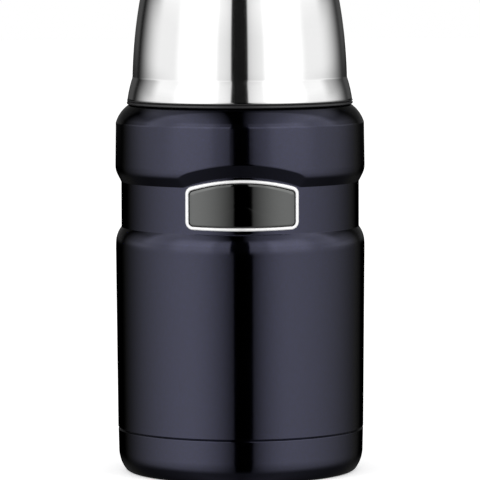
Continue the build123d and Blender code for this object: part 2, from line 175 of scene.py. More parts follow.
def turned(name, section, sectors=240, shape=None):
    """A solid turned about Z from a closed section. shape moves its grid of angles, radii and heights."""
    path = np.array(section)
    angles = np.tile(np.arange(sectors) * 2 * math.pi / sectors, (len(path), 1))
    radii = np.repeat(path[:, :1], sectors, axis=1)
    heights = np.repeat(path[:, 1:], sectors, axis=1)
    if shape:
        radii, heights = shape(angles, radii, heights)
    points = np.stack([radii * np.cos(angles), radii * np.sin(angles), heights], axis=2) * MM
    low = np.arange(len(path) * sectors).reshape(len(path), sectors)
    high = np.roll(low, -1, axis=0)
    faces = np.stack([low, np.roll(low, -1, axis=1), np.roll(high, -1, axis=1), high], axis=2)
    data = bpy.data.meshes.new(name)
    data.from_pydata(points.reshape(-1, 3).tolist(), [], faces.reshape(-1, 4).tolist())
    return cleaned(name, data)


def cleaned(name, data):
    """An object from a mesh, its doubled points merged, its faces smooth and facing outwards."""
    mesh = bmesh.new()
    mesh.from_mesh(data)
    bmesh.ops.remove_doubles(mesh, verts=mesh.verts, dist=0.0005 * MM)
    bmesh.ops.recalc_face_normals(mesh, faces=mesh.faces)
    for face in mesh.faces:
        face.smooth = True
    mesh.to_mesh(data)
    mesh.free()
    piece = bpy.data.objects.new(name, data)
    bpy.context.scene.collection.objects.link(piece)
    return piece


def smooth_step(x):
    """0 below 0, 1 above 1 and a smooth change between."""
    x = np.clip(x, 0, 1)
    return x * x * (3 - 2 * x)


def ridge_mask(angles, heights, start_z):
    """1 on the crests of the helical ridges that rise from start_z, 0 beside them, tapered at both ends."""
    mask = np.zeros_like(angles)
    for n in range(THREAD_STARTS):
        turn = np.mod(angles - n * 2 * math.pi / THREAD_STARTS, 2 * math.pi)
        away = np.abs(heights - start_z - THREAD_LEAD * turn / (2 * math.pi))
        flank = smooth_step((RIDGE_ROOT - away) / (RIDGE_ROOT - RIDGE_CREST))
        ends = smooth_step(turn / RIDGE_TAPER) * smooth_step((THREAD_SWEEP - turn) / RIDGE_TAPER)
        mask = np.maximum(mask, flank * ends)
    return mask


def shell_wall(heights):
    """Outside radius of the plain shell at each height."""
    wall = [(z, r) for r, z in shell_outside if BAND_LOW_Z <= z <= BULGE_TOP_Z]
    return np.interp(heights, *zip(*wall))


def shell_shape(angles, radii, heights):
    """Presses the arch in over the nameplate and raises the thread on the neck."""
    across = BAND_R * np.cos(angles)
    crease = BAND_TOP_Z + ARCH_RISE - ARCH_R + np.sqrt(ARCH_R**2 - across**2)
    crease = np.where(np.sin(angles) < 0, crease, BAND_LOW_Z)
    lift = ARCH_SOFTNESS * np.logaddexp(0, (crease - BAND_TOP_Z) / ARCH_SOFTNESS)
    fade_below = (heights - BAND_LOW_Z - 1) / (BAND_TOP_Z - BAND_LOW_Z - 1)
    fade_above = (BULGE_TOP_Z - 2 - heights) / (BULGE_TOP_Z - 5 - BULGE_LOW_Z)
    lifted = heights + lift * np.clip(np.minimum(fade_below, fade_above), 0, 1)
    face = BAND_R + CREASE_SOFTNESS * np.logaddexp(0, (lifted - crease) * ARCH_GRADE / CREASE_SOFTNESS)
    pressed = np.minimum(shell_wall(lifted), face) - shell_wall(heights)
    on_wall = (heights > BAND_LOW_Z) & (heights < BULGE_TOP_Z)
    ridges = ridge_mask(angles, heights, NECK_THREAD_Z) * (heights > SHOULDER_TOP_Z + 1)
    return radii + pressed * on_wall + NECK_RIDGE * ridges, np.where(on_wall, lifted, heights)


def shell_spacing(z):
    """Rows are closest on the neck, where the thread is, and next closest round the arch."""
    return 0.3 if z > SHOULDER_TOP_Z else 0.6 if z > BAND_LOW_Z else 8


ease_start = (BARREL_R, BARREL_TOP_Z - BARREL_EASE)
ease_end = np.array([BARREL_R - BARREL_EASE * math.tan(EASE_ANGLE / 2), BARREL_TOP_Z])
inward = -np.array([math.cos(EASE_ANGLE), math.sin(EASE_ANGLE)])
chord = np.array([BAND_R, BAND_LOW_Z]) - ease_end
round_r = (chord @ chord) / (2 * chord @ inward)
round_centre = ease_end + inward * round_r
round_end = math.degrees(math.atan2(BAND_LOW_Z - round_centre[1], BAND_R - round_centre[0]))
barrel_round = bowed(ease_start, ease_end, BARREL_EASE * EASE_ANGLE / 8, 6)
barrel_round += arc(round_centre, round_r, math.degrees(EASE_ANGLE), round_end, 16)[1:-1]
shell_outside = rounded(
    [
        (SEAM_R - SEAM_CHAMFER, SEAM_Z),
        (SEAM_R, SEAM_Z + SEAM_CHAMFER, 0.12),
        (SEAM_R, SEAM_Z + SEAM_LAND),
        *barrel_round,
        (BAND_R, BAND_LOW_Z, 0.4),
        (BAND_R, BAND_TOP_Z, 0.5),
        *arc((BULGE_R - BULGE_ROUND_R, BULGE_LOW_Z), BULGE_ROUND_R, -math.degrees(BULGE_SLOPE), 0, 14),
        (BULGE_R - BULGE_DRAFT, BULGE_TOP_Z, BULGE_TOP_ROUND_R),
        *bowed((BULGE_R - BULGE_DRAFT, BULGE_TOP_Z), (SHOULDER_R, SHOULDER_TOP_Z), SHOULDER_CROWN, 10)[2:-1],
        (SHOULDER_R, SHOULDER_TOP_Z, 0.5),
        (NECK_R, SHOULDER_TOP_Z, 1.0),
        (NECK_R, NECK_TOP_Z),
    ]
)
shell_section = sheet_section(divided(shell_outside, shell_spacing), SHEET)
outer_shell = turned("shell_skin", shell_section, 480, shell_shape)
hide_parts("outer_shell")
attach(outer_shell, "jar")


def new_node(tree, kind, settings=None, **sockets):
    """A shader node. Sockets are named with _ for a space, and take a value or another node's output."""
    made = tree.nodes.new(kind)
    for key, value in (settings or {}).items():
        setattr(made, key, value)
    for key, value in sockets.items():
        numbered = key[:2] == "in" and key[2:].isdigit()
        socket = made.inputs[int(key[2:]) if numbered else key.replace("_", " ")]
        if isinstance(value, bpy.types.NodeSocket):
            tree.links.new(value, socket)
        else:
            socket.default_value = value
    return made


def maths(tree, operation, first, second=0.0, third=0.0):
    """The output of a Math node."""
    made = new_node(tree, "ShaderNodeMath", {"operation": operation}, in0=first, in1=second, in2=third)
    return made.outputs[0]


def new_group(name, inputs, outputs):
    """A shader node group with named value inputs and outputs. Returns its tree, inlet and outlet."""
    tree = bpy.data.node_groups.new(name, "ShaderNodeTree")
    for label, value in inputs.items():
        tree.interface.new_socket(label, in_out="INPUT", socket_type="NodeSocketFloat").default_value = value
    for label in outputs:
        tree.interface.new_socket(label, in_out="OUTPUT", socket_type="NodeSocketFloat")
    return tree, tree.nodes.new("NodeGroupInput"), tree.nodes.new("NodeGroupOutput")


def placed(tree, group, **values):
    """One use of a group in a material, with its own values."""
    return new_node(tree, "ShaderNodeGroup", {"node_tree": group}, **values)


def new_finish(name):
    """A material, with its node tree and its Principled shader."""
    material = bpy.data.materials.new(name)
    material.use_nodes = True
    tree = material.node_tree
    return material, tree, tree.nodes["Principled BSDF"]


def blend(tree, mask, low, high):
    """A colour between two others, by a mask."""
    mix = new_node(tree, "ShaderNodeMix", {"data_type": "RGBA"}, in0=mask, in6=low, in7=high)
    return mix.outputs[2]


def ramp(tree, value, low, high):
    """A value mapped from 0..1 to low..high, held at both ends."""
    settings = {"clamp": True}
    mapped = new_node(tree, "ShaderNodeMapRange", settings, Value=value, To_Min=low, To_Max=high)
    return mapped.outputs[0]


def spread_out(tree, size):
    """Object coordinates in which one unit is the given size, in metres."""
    place = new_node(tree, "ShaderNodeTexCoord").outputs["Object"]
    share = maths(tree, "DIVIDE", 1.0, size)
    return new_node(tree, "ShaderNodeVectorMath", {"operation": "SCALE"}, in0=place, Scale=share).outputs[0]


# Soft marks that handling leaves on a smooth surface, as a value from 0 to 1.
marks, inlet, outlet = new_group("handling_marks", {"Size": 0.02}, ["Marks"])
place = spread_out(marks, inlet.outputs["Size"])
cloud = new_node(marks, "ShaderNodeTexNoise", Vector=place, Scale=1.0, Detail=5.0, Roughness=0.62)
cloud.inputs["Distortion"].default_value = 0.6
clearer = maths(marks, "MULTIPLY_ADD", cloud.outputs[0], 2.2, -0.6)
marks.links.new(ramp(marks, clearer, 0.0, 1.0), outlet.inputs["Marks"])

# Flakes of metal in an enamel, each cell with a random brightness, and the faint ripple of a sprayed coat.
flakes, inlet, outlet = new_group("metal_flakes", {"Cells": 5200.0, "Ripple": 420.0}, ["Sparkle", "Height"])
place = new_node(flakes, "ShaderNodeTexCoord").outputs["Object"]
cells = new_node(flakes, "ShaderNodeTexVoronoi", Vector=place, Scale=inlet.outputs["Cells"])
shade = new_node(flakes, "ShaderNodeSeparateColor", in0=cells.outputs["Color"])
ripple = new_node(flakes, "ShaderNodeTexNoise", Vector=place, Scale=inlet.outputs["Ripple"], Detail=1.0)
flakes.links.new(maths(flakes, "POWER", shade.outputs[0], 4.0), outlet.inputs["Sparkle"])
flakes.links.new(ripple.outputs[0], outlet.inputs["Height"])

enamel, tree, paint = new_finish("navy_enamel")
flake = placed(tree, flakes)
handled = placed(tree, marks, Size=0.03)
speckled = blend(tree, flake.outputs["Sparkle"], NAVY, FLAKE_BLUE)
tree.links.new(speckled, paint.inputs["Base Color"])
tree.links.new(ramp(tree, handled.outputs["Marks"], 0.07, 0.11), paint.inputs["Roughness"])
paint.inputs["Metallic"].default_value = 1.0
paint.inputs["Coat Weight"].default_value = 1.0
paint.inputs["Coat Roughness"].default_value = 0.02
paint.inputs["Coat IOR"].default_value = 1.3
paint.inputs["Specular Tint"].default_value = EDGE_SHEEN
wave = new_node(tree, "ShaderNodeBump", Height=flake.outputs["Height"], Strength=0.04, Distance=0.0002)
tree.links.new(wave.outputs[0], paint.inputs["Normal"])
outer_shell.data.materials.append(enamel)

# ---------------------------------------------------------------------------
# Base cup
# Drawn steel cup with a rolled foot ring and a recessed floor, enamelled like
# the shell. Its spigot is lapped inside the barrel and welded at the seam.
# ---------------------------------------------------------------------------
CUP_R = SEAM_R - 0.1
CUP_TOP_R = CUP_R - 0.2
CUP_CORNER_R = 14.4
FOOT_EDGE_R = 3.0
FOOT_EDGE_TURN = math.radians(55)
CUP_CORNER_Z = FOOT_EDGE_R * (1 - math.cos(FOOT_EDGE_TURN)) + CUP_CORNER_R * math.cos(FOOT_EDGE_TURN)
FOOT_R = CUP_TOP_R - CUP_CORNER_R * (1 - math.sin(FOOT_EDGE_TURN)) - FOOT_EDGE_R * math.sin(FOOT_EDGE_TURN)
FOOT_WIDTH = 3.0
FOOT_SLOPE_RUN = 4.0
FLOOR_Z = 4.0
DIMPLE_R = 9.0
DIMPLE_Z = FLOOR_Z + 1.6
HOLE_R = 0.8
LAP_R = SEAM_R - SHEET - 0.1
LAP_HEIGHT = 6
cup_corner = (CUP_TOP_R - CUP_CORNER_R, CUP_CORNER_Z)
cup_outside = rounded(
    [
        (HOLE_R, DIMPLE_Z),
        (DIMPLE_R, DIMPLE_Z, 1.2),
        (DIMPLE_R + 2, FLOOR_Z, 1.2),
        (FOOT_R - FOOT_WIDTH - FOOT_SLOPE_RUN, FLOOR_Z, 2.0),
        (FOOT_R - FOOT_WIDTH, 0, 1.6),
        (FOOT_R, 0),
        *arc((FOOT_R, FOOT_EDGE_R), FOOT_EDGE_R, -90, math.degrees(FOOT_EDGE_TURN) - 90, 10)[1:-1],
        *arc(cup_corner, CUP_CORNER_R, math.degrees(FOOT_EDGE_TURN) - 90, 0, 16),
        (CUP_R, SEAM_Z - SEAM_CHAMFER, 0.4),
        (CUP_R - SEAM_CHAMFER + 0.05, SEAM_Z, 0.05),
        (LAP_R, SEAM_Z, 0.05),
        (LAP_R, SEAM_Z + LAP_HEIGHT),
    ]
)
base_cup = turned("base_cup_skin", sheet_section(cup_outside, SHEET), 240)
base_cup.data.materials.append(enamel)
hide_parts("base_cup")
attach(base_cup, "jar")

# ---------------------------------------------------------------------------
# Evacuation seal and its cover
# A bead of dark sealing glass closes the hole that the air was pumped out of.
# A thin stainless disc is stuck over the dimple that holds it.
# ---------------------------------------------------------------------------
COVER_R = 14.0
COVER_THICKNESS = 0.4
COVER_DISH = 0.15
COVER_RIM_R = COVER_R - 1.2
COVER_DISH_R = COVER_R - 3
BARE_STEEL = (0.52, 0.51, 0.50, 1)
BARE_STEEL_LINES = (0.44, 0.43, 0.42, 1)
BEAD_GREY = (0.10, 0.11, 0.12, 1)
BEAD_CRUST = (0.05, 0.055, 0.06, 1)

# Fine lines left by turning or polishing: they run round the axis on walls and on flat faces alike.
lines, inlet, outlet = new_group("turned_grain", {"Lines": 2600.0, "Length": 60.0}, ["Grain"])
place = new_node(lines, "ShaderNodeTexCoord").outputs["Object"]
axes = new_node(lines, "ShaderNodeSeparateXYZ", Vector=place)
flat = new_node(lines, "ShaderNodeCombineXYZ", X=axes.outputs[0], Y=axes.outputs[1])
from_axis = new_node(lines, "ShaderNodeVectorMath", {"operation": "LENGTH"}, in0=flat.outputs[0])
travel = maths(lines, "ADD", axes.outputs[2], from_axis.outputs["Value"])
along = maths(lines, "MULTIPLY", travel, inlet.outputs["Lines"])
stretched = new_node(
    lines,
    "ShaderNodeCombineXYZ",
    X=maths(lines, "MULTIPLY", axes.outputs[0], inlet.outputs["Length"]),
    Y=maths(lines, "MULTIPLY", axes.outputs[1], inlet.outputs["Length"]),
    Z=along,
)
streaks = new_node(lines, "ShaderNodeTexNoise", Vector=stretched.outputs[0], Scale=1.0, Detail=3.0)
streaks.inputs["Roughness"].default_value = 0.7
lines.links.new(streaks.outputs[0], outlet.inputs["Grain"])


def steel_finish(name, colour, line_colour, smooth, rough, depth, line_count=2600.0):
    """Stainless steel: turned lines in its colour, roughness and height, and marks in its roughness."""
    material, tree, shader = new_finish(name)
    grain = placed(tree, lines, Lines=line_count).outputs["Grain"]
    handled = placed(tree, marks, Size=0.04).outputs["Marks"]
    tree.links.new(blend(tree, grain, line_colour, colour), shader.inputs["Base Color"])
    mixed = maths(tree, "MULTIPLY_ADD", handled, 0.35, maths(tree, "MULTIPLY", grain, 0.65))
    tree.links.new(ramp(tree, mixed, smooth, rough), shader.inputs["Roughness"])
    shader.inputs["Metallic"].default_value = 1.0
    bump = new_node(tree, "ShaderNodeBump", Height=grain, Strength=0.2, Distance=depth)
    tree.links.new(bump.outputs[0], shader.inputs["Normal"])
    return material


bare_steel = steel_finish("bare_steel", BARE_STEEL, BARE_STEEL_LINES, 0.20, 0.36, 0.00003)
seal_glass, tree, glass = new_finish("sealing_glass")
crust = placed(tree, marks, Size=0.002)
mottled = blend(tree, crust.outputs["Marks"], BEAD_CRUST, BEAD_GREY)
tree.links.new(mottled, glass.inputs["Base Color"])
tree.links.new(ramp(tree, crust.outputs["Marks"], 0.12, 0.35), glass.inputs["Roughness"])


def dressed(node, material):
    """Gives its finish to a node whose solid is shown as it is."""
    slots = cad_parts[node].data.materials
    slots.clear()
    slots.append(material)


dressed("evacuation_seal", seal_glass)

cover_under = FLOOR_Z - COVER_THICKNESS
cover_section = [
    (0, FLOOR_Z - COVER_DISH),
    (0, cover_under - COVER_DISH),
    (COVER_DISH_R, cover_under - COVER_DISH, 3),
    (COVER_RIM_R, cover_under, 1.5),
    (COVER_R, cover_under, 0.15),
    (COVER_R, FLOOR_Z, 0.15),
    (COVER_RIM_R, FLOOR_Z, 1.5),
    (COVER_DISH_R, FLOOR_Z - COVER_DISH, 3),
]
seal_cover = turned("seal_cover_disc", rounded(cover_section, closed=True), 96)
seal_cover.data.materials.append(bare_steel)
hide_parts("seal_cover")
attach(seal_cover, "jar")

# ---------------------------------------------------------------------------
# Food vessel
# Steel wall that narrows to the mouth, where the stopper's thread is rolled in,
# and turns out over the neck's edge. A dished bottom is butt-welded to it.
# ---------------------------------------------------------------------------
vessel_low, vessel_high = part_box("inner_vessel")
WELD_Z = vessel_low[2] / MM
LIP_Z = vessel_high[2] / MM
BORE_R = 42.4
MOUTH_R = 40.9
MOUTH_SLOPE_Z = SHOULDER_TOP_Z - 3.0
LIP_R = SHEET + 0.1
MOUTH_THREAD_Z = SHOULDER_TOP_Z + 5.5
MOUTH_RIDGE = 1.0
BOTTOM_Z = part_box("inner_bottom")[0][2] / MM + SHEET
BOTTOM_CORNER_R = 10.0
POLISHED_BORE = (0.66, 0.65, 0.63, 1)
BORE_LINES = (0.60, 0.59, 0.57, 1)


def vessel_shape(angles, radii, heights):
    """Raises the ridges that carry the stopper, pointing at the axis."""
    ridges = ridge_mask(angles, heights, MOUTH_THREAD_Z) * (heights > MOUTH_SLOPE_Z)
    return radii - MOUTH_RIDGE * ridges, heights


def vessel_spacing(z):
    """Rows are closest in the mouth, where the thread is."""
    return 0.3 if z > MOUTH_SLOPE_Z + 3 else 8


vessel_bore = rounded(
    [
        (BORE_R, WELD_Z),
        (BORE_R, MOUTH_SLOPE_Z - 5, 3.0),
        (MOUTH_R, MOUTH_SLOPE_Z, 3.0),
        (MOUTH_R, LIP_Z - LIP_R),
        *arc((MOUTH_R + LIP_R, LIP_Z - LIP_R), LIP_R, 180, 90, 8)[1:],
        (NECK_R, LIP_Z),
    ]
)
vessel = turned("vessel_wall", sheet_section(divided(vessel_bore, vessel_spacing), -SHEET), 360, vessel_shape)
bottom_dish = rounded(
    [
        (0, BOTTOM_Z),
        (BORE_R - BOTTOM_CORNER_R, BOTTOM_Z),
        *arc((BORE_R - BOTTOM_CORNER_R, BOTTOM_Z + BOTTOM_CORNER_R), BOTTOM_CORNER_R, -90, 0, 20)[1:],
        (BORE_R, WELD_Z),
    ]
)
bottom = turned("vessel_bottom", sheet_section(bottom_dish, -SHEET), 240)
bore_steel = steel_finish("polished_bore", POLISHED_BORE, BORE_LINES, 0.16, 0.30, 0.00002, 1800.0)
for piece, node in ((vessel, "inner_vessel"), (bottom, "inner_bottom")):
    piece.data.materials.append(bore_steel)
    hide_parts(node)
    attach(piece, "jar")

# ---------------------------------------------------------------------------
# Foils, getter pellet and its clip
# Bright foil is wrapped round the vessel in the vacuum space. A porous metal
# pellet, held by a welded spring strip, takes up the last of the gas.
# ---------------------------------------------------------------------------
FOIL_DULL = (0.78, 0.78, 0.79, 1)
FOIL_BRIGHT = (0.88, 0.88, 0.88, 1)
PELLET_DARK = (0.10, 0.10, 0.11, 1)
PELLET_LIGHT = (0.26, 0.26, 0.27, 1)
foil, tree, metal = new_finish("rolled_foil")
crinkle = new_node(tree, "ShaderNodeTexVoronoi", {"feature": "SMOOTH_F1"}, Scale=260.0, Smoothness=0.4)
tree.links.new(new_node(tree, "ShaderNodeTexCoord").outputs["Object"], crinkle.inputs["Vector"])
# The foil's colour is lighter where its crinkles stand highest: painted sheen on the folds, over the real
# bump.
painted_fold_sheen = blend(tree, crinkle.outputs["Distance"], FOIL_DULL, FOIL_BRIGHT)
tree.links.new(painted_fold_sheen, metal.inputs["Base Color"])
handled = placed(tree, marks, Size=0.01).outputs["Marks"]
tree.links.new(ramp(tree, handled, 0.14, 0.30), metal.inputs["Roughness"])
metal.inputs["Metallic"].default_value = 1.0
fold = new_node(tree, "ShaderNodeBump", Height=crinkle.outputs["Distance"], Strength=0.5, Distance=0.0004)
tree.links.new(fold.outputs[0], metal.inputs["Normal"])

pellet_metal, tree, metal = new_finish("pressed_pellet")
pores = new_node(tree, "ShaderNodeTexNoise", Scale=2400.0, Detail=4.0, Roughness=0.7)
tree.links.new(new_node(tree, "ShaderNodeTexCoord").outputs["Object"], pores.inputs["Vector"])
greys = blend(tree, pores.outputs[0], PELLET_DARK, PELLET_LIGHT)
tree.links.new(greys, metal.inputs["Base Color"])
tree.links.new(ramp(tree, pores.outputs[0], 0.55, 0.80), metal.inputs["Roughness"])
metal.inputs["Metallic"].default_value = 0.7
pit = new_node(tree, "ShaderNodeBump", Height=pores.outputs[0], Strength=0.6, Distance=0.0001)
tree.links.new(pit.outputs[0], metal.inputs["Normal"])

dressed("wall_foil", foil)
dressed("bottom_foil", foil)
dressed("getter_pellet", pellet_metal)
dressed("getter_clip", bare_steel)

# ---------------------------------------------------------------------------
# Nameplate
# A bare dark satin plate in a bright half-round frame, both bent to the band
# and stuck on one foam tape under the arch. It carries no name.
# ---------------------------------------------------------------------------
badge_low, badge_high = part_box("badge_frame")
BADGE_Z = (badge_low[2] + badge_high[2]) / 2 / MM
BADGE_W = (badge_high[0] - badge_low[0]) / MM
BADGE_H = (badge_high[2] - badge_low[2]) / MM
BADGE_TOP_BOW = 3.6
BADGE_BOTTOM_BOW = 0.5
BADGE_CORNER_R = 3.2
BORDER = 1.3
TAPE = 0.2
FRAME_THICKNESS = 1.2
FRAME_SIDE = 0.55
PLATE_THICKNESS = 0.7
CHROME = (0.94, 0.94, 0.94, 1)
CHROME_DULL = (0.88, 0.88, 0.88, 1)
SATIN_DARK = (0.098, 0.100, 0.098, 1)
SATIN_LIGHT = (0.128, 0.131, 0.129, 1)


def long_edge(inset, bow, corner_steps=8, edge_steps=36):
    """The plate's upper edge with its corners, from the right end to the left."""
    half_w, half_h = BADGE_W / 2 - inset, BADGE_H / 2 - inset
    bow_r = (half_w**2 + bow**2) / (2 * bow)
    corner_r = BADGE_CORNER_R - inset
    centre_x = half_w - corner_r
    centre_z = half_h - bow_r + math.sqrt((bow_r - corner_r) ** 2 - centre_x**2)
    tilt = math.degrees(math.atan2(centre_z - (half_h - bow_r), centre_x))
    quarter = arc((centre_x, centre_z), corner_r, 0, tilt, corner_steps)
    edge = arc((0, half_h - bow_r), bow_r, tilt, 180 - tilt, edge_steps)[1:-1]
    return quarter + edge + [(-x, z) for x, z in quarter[::-1]]


def badge_outline(inset, end_steps=8):
    """An even walk round the plate's outline, with the same number of points at every inset."""
    top = long_edge(inset, BADGE_TOP_BOW)
    bottom = [(-x, -z) for x, z in long_edge(inset, BADGE_BOTTOM_BOW)]
    heights = np.linspace(top[-1][1], bottom[0][1], end_steps + 1)[1:-1]
    left = [(top[-1][0], z) for z in heights]
    return top + left + bottom + [(-x, z) for x, z in left[::-1]]


def on_band(across, up, proud):
    """A point of the nameplate in metres, the given height proud of the band."""
    radius = BAND_R + proud
    return (across * MM, -math.sqrt(radius**2 - across**2) * MM, (BADGE_Z + up) * MM)


def ringed(name, rings, looped):
    """A solid on the band from rings that are looped or start and end in a point."""
    count = len(rings[0])
    points = [on_band(*p) for ring in rings for p in ring]
    pairs = list(zip(range(len(rings)), range(1, len(rings))))
    if looped:
        pairs.append((len(rings) - 1, 0))
    faces = []
    for low, high in pairs:
        for j in range(count):
            k = (j + 1) % count
            faces.append((low * count + j, low * count + k, high * count + k, high * count + j))
    data = bpy.data.meshes.new(name)
    data.from_pydata(points, [], faces)
    return cleaned(name, data)


def border_profile(steps=10):
    """Inset and height round the frame's section: a flat back, short sides and a half-round face."""
    back = [(BORDER - 0.02, TAPE), (0.02, TAPE)]
    base = TAPE + FRAME_SIDE
    crest = TAPE + FRAME_THICKNESS - base
    face = []
    for t in np.linspace(math.pi, 0, steps + 1):
        face.append((BORDER / 2 + BORDER / 2 * math.cos(t), base + crest * math.sin(t) ** 0.8))
    return back + face


badge_frame = ringed(
    "badge_border",
    [[(x, z, height) for x, z in badge_outline(inset)] for inset, height in border_profile()],
    looped=True,
)
chrome, tree, metal = new_finish("satin_chrome")
polish = placed(tree, marks, Size=0.006).outputs["Marks"]
tree.links.new(blend(tree, polish, CHROME_DULL, CHROME), metal.inputs["Base Color"])
tree.links.new(ramp(tree, polish, 0.30, 0.36), metal.inputs["Roughness"])
metal.inputs["Metallic"].default_value = 0.35
badge_frame.data.materials.append(chrome)
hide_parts("badge_frame")
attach(badge_frame, "jar")

FIELD_GAP = 0.3
FIELD = BORDER + FIELD_GAP
FIELD_TOP = TAPE + PLATE_THICKNESS
FIELD_EASE = 0.3


def shrunk(outline, height, shares):
    """Rings at one height, each a share of the outline's size."""
    return [[(x * share, z * share, height) for x, z in outline] for share in shares]


field_shares = np.linspace(0, 1, 12)
field_edge = badge_outline(FIELD)
field_rings = shrunk(field_edge, TAPE, field_shares)
field_rings += shrunk(field_edge, FIELD_TOP - FIELD_EASE, [1])
field_rings += shrunk(badge_outline(FIELD + 0.3 * FIELD_EASE), FIELD_TOP - 0.3 * FIELD_EASE, [1])
field_rings += shrunk(badge_outline(FIELD + FIELD_EASE), FIELD_TOP, field_shares[::-1])
badge_plate = ringed("badge_field", field_rings, looped=False)
satin, tree, metal = new_finish("satin_field")
place = new_node(tree, "ShaderNodeTexCoord").outputs["Object"]
brushed = new_node(tree, "ShaderNodeMapping", Vector=place, Scale=(260.0, 260.0, 9000.0))
strokes = new_node(tree, "ShaderNodeTexNoise", Vector=brushed.outputs[0], Scale=1.0, Detail=3.0)
strokes.inputs["Roughness"].default_value = 0.7
greys = blend(tree, strokes.outputs[0], SATIN_DARK, SATIN_LIGHT)
tree.links.new(greys, metal.inputs["Base Color"])
tree.links.new(ramp(tree, strokes.outputs[0], 0.02, 0.06), metal.inputs["Roughness"])
metal.inputs["Metallic"].default_value = 1.0
stroke_bump = new_node(tree, "ShaderNodeBump", Height=strokes.outputs[0], Strength=0.15, Distance=0.00001)
tree.links.new(stroke_bump.outputs[0], metal.inputs["Normal"])
badge_plate.data.materials.append(satin)
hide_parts("badge_plate")
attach(badge_plate, "jar")

# Fine even grain of a moulded or foamed surface, as a height.
moulded, inlet, outlet = new_group("moulded_grain", {"Size": 0.0003}, ["Grain"])
place = spread_out(moulded, inlet.outputs["Size"])
pebble = new_node(moulded, "ShaderNodeTexNoise", Vector=place, Scale=1.0, Detail=3.0, Roughness=0.55)
moulded.links.new(pebble.outputs[0], outlet.inputs["Grain"])


def moulded_finish(name, colour, worn_colour, smooth, rough, size, strength):
    """A moulded or foamed material: a fine grain, and handling marks in its colour and roughness."""
    material, tree, shader = new_finish(name)
    grain = placed(tree, moulded, Size=size).outputs["Grain"]
    handled = placed(tree, marks, Size=0.015).outputs["Marks"]
    tree.links.new(blend(tree, handled, colour, worn_colour), shader.inputs["Base Color"])
    mixed = maths(tree, "ADD", maths(tree, "MULTIPLY", handled, 0.5), maths(tree, "MULTIPLY", grain, 0.5))
    tree.links.new(ramp(tree, mixed, smooth, rough), shader.inputs["Roughness"])
    bump = new_node(tree, "ShaderNodeBump", Height=grain, Strength=strength, Distance=size * 0.2)
    tree.links.new(bump.outputs[0], shader.inputs["Normal"])
    return material


TAPE_BLACK = (0.025, 0.025, 0.025, 1)
TAPE_WORN = (0.045, 0.045, 0.045, 1)
foam_tape = moulded_finish("foam_tape", TAPE_BLACK, TAPE_WORN, 0.75, 0.9, 0.0004, 0.6)
dressed("badge_adhesive", foam_tape)

# ---------------------------------------------------------------------------
# Stopper plug
# Moulded polypropylene cup with an outside thread for the mouth and a flange
# that the gasket sits under.
# ---------------------------------------------------------------------------
plug_low, plug_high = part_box("stopper_plug")
PLUG_Z = plug_low[2] / MM
FLANGE_TOP_Z = plug_high[2] / MM
FLANGE_R = plug_high[0] / MM
FLANGE_THICKNESS = 1.8
FLANGE_Z = FLANGE_TOP_Z - FLANGE_THICKNESS
PLUG_R = MOUTH_R - 1.4
PLUG_WALL = 1.5
PLUG_BORE_R = PLUG_R - PLUG_WALL
PLUG_FLOOR = 2.0
PLUG_RIDGE = 1.1
PLUG_THREAD_Z = MOUTH_THREAD_Z - THREAD_LEAD / THREAD_STARTS / 2
PLASTIC_BLACK = (0.016, 0.016, 0.017, 1)
PLASTIC_WORN = (0.022, 0.022, 0.023, 1)


def plug_shape(angles, radii, heights):
    """Raises the stopper's thread on the plug's outside."""
    on_wall = (radii > PLUG_R - 0.1) * (heights < FLANGE_Z - 0.5)
    return radii + PLUG_RIDGE * ridge_mask(angles, heights, PLUG_THREAD_Z) * on_wall, heights


def plug_spacing(z):
    """Rows are close together along the thread."""
    return 0.3 if PLUG_THREAD_Z - 2 < z < FLANGE_Z else 4


plug_section = rounded(
    [
        (0, PLUG_Z),
        (PLUG_R, PLUG_Z, 4.0),
        (PLUG_R, FLANGE_Z, 0.3),
        (FLANGE_R, FLANGE_Z, 0.3),
        (FLANGE_R, FLANGE_TOP_Z, 0.5),
        (PLUG_BORE_R, FLANGE_TOP_Z, 0.2),
        (PLUG_BORE_R, PLUG_Z + PLUG_FLOOR, 2.5),
        (0, PLUG_Z + PLUG_FLOOR),
    ],
    closed=True,
)
plug = turned("stopper_body", divided(plug_section, plug_spacing), 360, plug_shape)
black_plastic = moulded_finish("black_plastic", PLASTIC_BLACK, PLASTIC_WORN, 0.24, 0.36, 0.0003, 0.10)
plug.data.materials.append(black_plastic)
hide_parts("stopper_plug")
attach(plug, "stopper")

# ---------------------------------------------------------------------------
# Gasket
# Grey silicone ring with a soft double lip. It is stretched round the plug and
# seals between the flange and the vessel's rolled lip.
# ---------------------------------------------------------------------------
gasket_low, gasket_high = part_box("stopper_gasket")
GASKET_Z = gasket_low[2] / MM
GASKET_TOP_Z = gasket_high[2] / MM
GASKET_R = gasket_high[0] / MM
GROOVE = 0.25
GROOVE_HALF = 0.2
SILICONE_GREY = (0.44, 0.45, 0.46, 1)
SILICONE_WORN = (0.38, 0.39, 0.40, 1)
gasket_middle = (GASKET_Z + GASKET_TOP_Z) / 2
gasket_section = [
    (PLUG_R, GASKET_Z, 0.15),
    (GASKET_R, GASKET_Z, 0.45),
    (GASKET_R, gasket_middle - GROOVE_HALF, 0.2),
    (GASKET_R - GROOVE, gasket_middle, 0.2),
    (GASKET_R, gasket_middle + GROOVE_HALF, 0.2),
    (GASKET_R, GASKET_TOP_Z, 0.45),
    (PLUG_R, GASKET_TOP_Z, 0.15),
]
gasket = turned("gasket_ring", rounded(gasket_section, closed=True), 240)
silicone = moulded_finish("grey_silicone", SILICONE_GREY, SILICONE_WORN, 0.42, 0.60, 0.0005, 0.15)
rubber = silicone.node_tree.nodes["Principled BSDF"]
rubber.inputs["Subsurface Weight"].default_value = 0.25
rubber.inputs["Subsurface Scale"].default_value = 0.002
gasket.data.materials.append(silicone)
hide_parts("stopper_gasket")
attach(gasket, "stopper")

